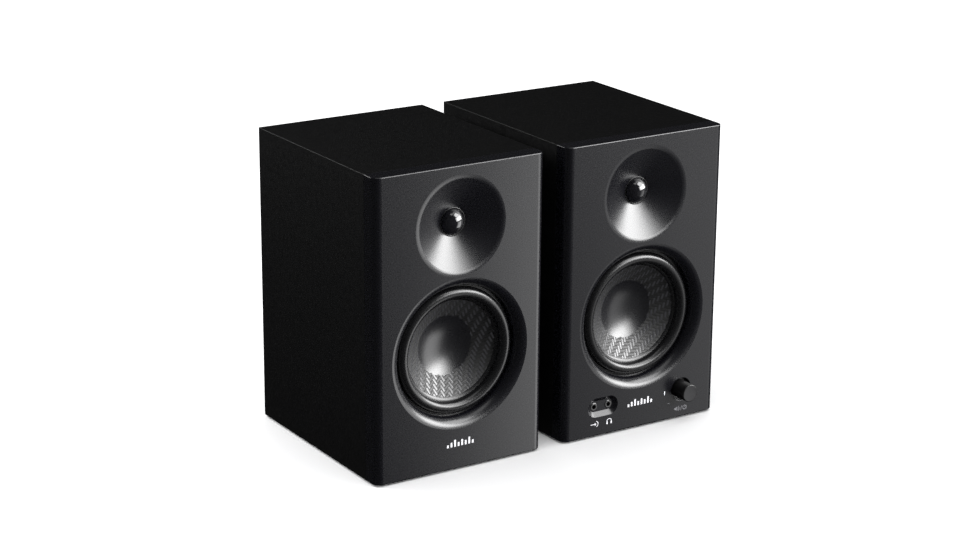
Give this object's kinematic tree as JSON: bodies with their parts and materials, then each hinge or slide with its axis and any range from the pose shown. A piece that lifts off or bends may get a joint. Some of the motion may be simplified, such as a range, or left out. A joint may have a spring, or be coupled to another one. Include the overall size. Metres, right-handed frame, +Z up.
{
  "type": "desktop speakers",
  "caption": "Compact powered monitor speakers for a desk, an active one and its passive partner, with tweeter horns, woven-cone woofers, rear bass ports and a front volume knob.",
  "frame": {"origin": "on the desk surface under the middle of the pair's bounding box", "axes": "+X to the right seen from the front, towards the active speaker; the fronts face -Y; +Z up"},
  "size_m": [0.299, 0.1895, 0.226],
  "materials": {
    "vinyl_wrap": "fine-grained black vinyl wrap on fibreboard",
    "baffle_paint": "satin charcoal paint on fibreboard",
    "back_paint": "matt black paint on fibreboard",
    "foot_rubber": "matt",
    "wadding": "loose fibre",
    "port_plastic": "moulded, fine texture",
    "black_steel": "black electrocoat",
    "surround_rubber": "satin",
    "woven_cone": "twill-woven fibre in clear resin",
    "cap_plastic": "satin",
    "coil_copper": "lacquered copper winding",
    "spider_cloth": "resin-treated cloth",
    "ferrite": "matt sintered ferrite",
    "zinc_steel": "zinc-plated",
    "dome_gloss": "gloss black",
    "clip_plastic": "moulded",
    "red_plastic": "moulded",
    "lever_plastic": "moulded",
    "black_screws": "black oxide",
    "circuit_board": "solder-masked laminate",
    "jack_nickel": "nickel",
    "led_clear": "clear light pipe",
    "encoder_metal": "plain",
    "knob_plastic": "satin moulded, grey end",
    "amp_plate_paint": "black powder coat",
    "heatsink_aluminium": "extruded",
    "socket_plastic": "moulded"
  },
  "bodies": {
    "active speaker": {"active_cabinet": "vinyl_wrap", "active_baffle": "baffle_paint", "active_back_panel": "back_paint", "active_feet": "foot_rubber", "active_damping_pad": "wadding", "active_port_tube": "port_plastic", "active_woofer_basket": "black_steel", "active_woofer_surround": "surround_rubber", "active_woofer_spider": "spider_cloth", "active_woofer_magnet": "ferrite", "active_woofer_steel": "zinc_steel", "active_tweeter_frame": "black_steel", "active_tweeter_surround": "surround_rubber", "active_tweeter_motor": "zinc_steel", "active_terminal_block": "clip_plastic", "active_screws": "black_screws", "active_front_jacks": "jack_nickel", "active_front_board": "circuit_board", "active_led_lens": "led_clear", "active_volume_encoder": "encoder_metal", "active_amp_plate": "amp_plate_paint", "active_amp_board": "circuit_board", "active_heatsink": "heatsink_aluminium", "active_mains_inlet": "socket_plastic", "active_rca_jacks": "jack_nickel", "active_trs_jacks": "socket_plastic"},
    "passive speaker": {"passive_cabinet": "vinyl_wrap", "passive_baffle": "baffle_paint", "passive_back_panel": "back_paint", "passive_feet": "foot_rubber", "passive_damping_pad": "wadding", "passive_port_tube": "port_plastic", "passive_woofer_basket": "black_steel", "passive_woofer_surround": "surround_rubber", "passive_woofer_spider": "spider_cloth", "passive_woofer_magnet": "ferrite", "passive_woofer_steel": "zinc_steel", "passive_tweeter_frame": "black_steel", "passive_tweeter_surround": "surround_rubber", "passive_tweeter_motor": "zinc_steel", "passive_terminal_block": "clip_plastic", "passive_screws": "black_screws", "passive_crossover_board": "circuit_board"},
    "passive woofer cone": {"passive_woofer_cone": "woven_cone", "passive_woofer_dust_cap": "cap_plastic", "passive_woofer_voice_coil": "coil_copper"},
    "passive tweeter dome": {"passive_tweeter_dome": "dome_gloss"},
    "passive red lever": {"passive_terminal_lever_red": "red_plastic"},
    "passive black lever": {"passive_terminal_lever_black": "lever_plastic"},
    "active woofer cone": {"active_woofer_cone": "woven_cone", "active_woofer_dust_cap": "cap_plastic", "active_woofer_voice_coil": "coil_copper"},
    "active tweeter dome": {"active_tweeter_dome": "dome_gloss"},
    "active red lever": {"active_terminal_lever_red": "red_plastic"},
    "active black lever": {"active_terminal_lever_black": "lever_plastic"},
    "volume plunger": {"active_volume_plunger": "lever_plastic"},
    "volume knob": {"active_volume_knob": "knob_plastic", "active_volume_shaft": "encoder_metal"},
    "treble knob": {"active_treble_knob": "knob_plastic"},
    "bass knob": {"active_bass_knob": "knob_plastic"}
  },
  "joints": [
    {"name": "passive_speaker_place", "type": "slide", "parent": "active speaker", "child": "passive speaker", "axis": [-1, 0, 0], "range_m": [-0.018, 0.25]},
    {"name": "passive_woofer_travel", "type": "slide", "parent": "passive speaker", "child": "passive woofer cone", "axis": [0, -1, 0], "range_m": [-0.003, 0.003], "stiffness_N_per_m": 1000, "deforming": ["passive_woofer_surround", "passive_woofer_spider"]},
    {"name": "passive_tweeter_travel", "type": "slide", "parent": "passive speaker", "child": "passive tweeter dome", "axis": [0, -1, 0], "range_m": [-0.0003, 0.0003], "stiffness_N_per_m": 500, "deforming": ["passive_tweeter_surround"]},
    {"name": "active_woofer_travel", "type": "slide", "parent": "active speaker", "child": "active woofer cone", "axis": [0, -1, 0], "range_m": [-0.003, 0.003], "stiffness_N_per_m": 1000, "deforming": ["active_woofer_surround", "active_woofer_spider"]},
    {"name": "active_tweeter_travel", "type": "slide", "parent": "active speaker", "child": "active tweeter dome", "axis": [0, -1, 0], "range_m": [-0.0003, 0.0003], "stiffness_N_per_m": 500, "deforming": ["active_tweeter_surround"]},
    {"name": "volume_press", "type": "slide", "parent": "active speaker", "child": "volume plunger", "axis": [0, 1, 0], "range_m": [0, 0.0005], "stiffness_N_per_m": 4000},
    {"name": "volume_turn", "type": "hinge", "parent": "volume plunger", "child": "volume knob", "pos_m": [0.1179, -0.08275, 0.0235], "axis": [0, 1, 0], "range_deg": [-150, 150]},
    {"name": "treble_turn", "type": "hinge", "parent": "active speaker", "child": "treble knob", "pos_m": [0.0955, 0.08925, 0.1155], "axis": [0, -1, 0], "range_deg": [-135, 135]},
    {"name": "bass_turn", "type": "hinge", "parent": "active speaker", "child": "bass knob", "pos_m": [0.0635, 0.08925, 0.1155], "axis": [0, -1, 0], "range_deg": [-135, 135]},
    {"name": "passive_red_lever_press", "type": "hinge", "parent": "passive speaker", "child": "passive red lever", "pos_m": [-0.089, 0.08545, 0.0685], "axis": [-1, 0, 0], "range_deg": [0, 12], "stiffness_Nm_per_rad": 0.05},
    {"name": "passive_black_lever_press", "type": "hinge", "parent": "passive speaker", "child": "passive black lever", "pos_m": [-0.07, 0.08545, 0.0685], "axis": [-1, 0, 0], "range_deg": [0, 12], "stiffness_Nm_per_rad": 0.05},
    {"name": "active_red_lever_press", "type": "hinge", "parent": "active speaker", "child": "active red lever", "pos_m": [0.09, 0.08745, 0.0425], "axis": [-1, 0, 0], "range_deg": [0, 12], "stiffness_Nm_per_rad": 0.05},
    {"name": "active_black_lever_press", "type": "hinge", "parent": "active speaker", "child": "active black lever", "pos_m": [0.109, 0.08745, 0.0425], "axis": [-1, 0, 0], "range_deg": [0, 12], "stiffness_Nm_per_rad": 0.05}
  ]
}
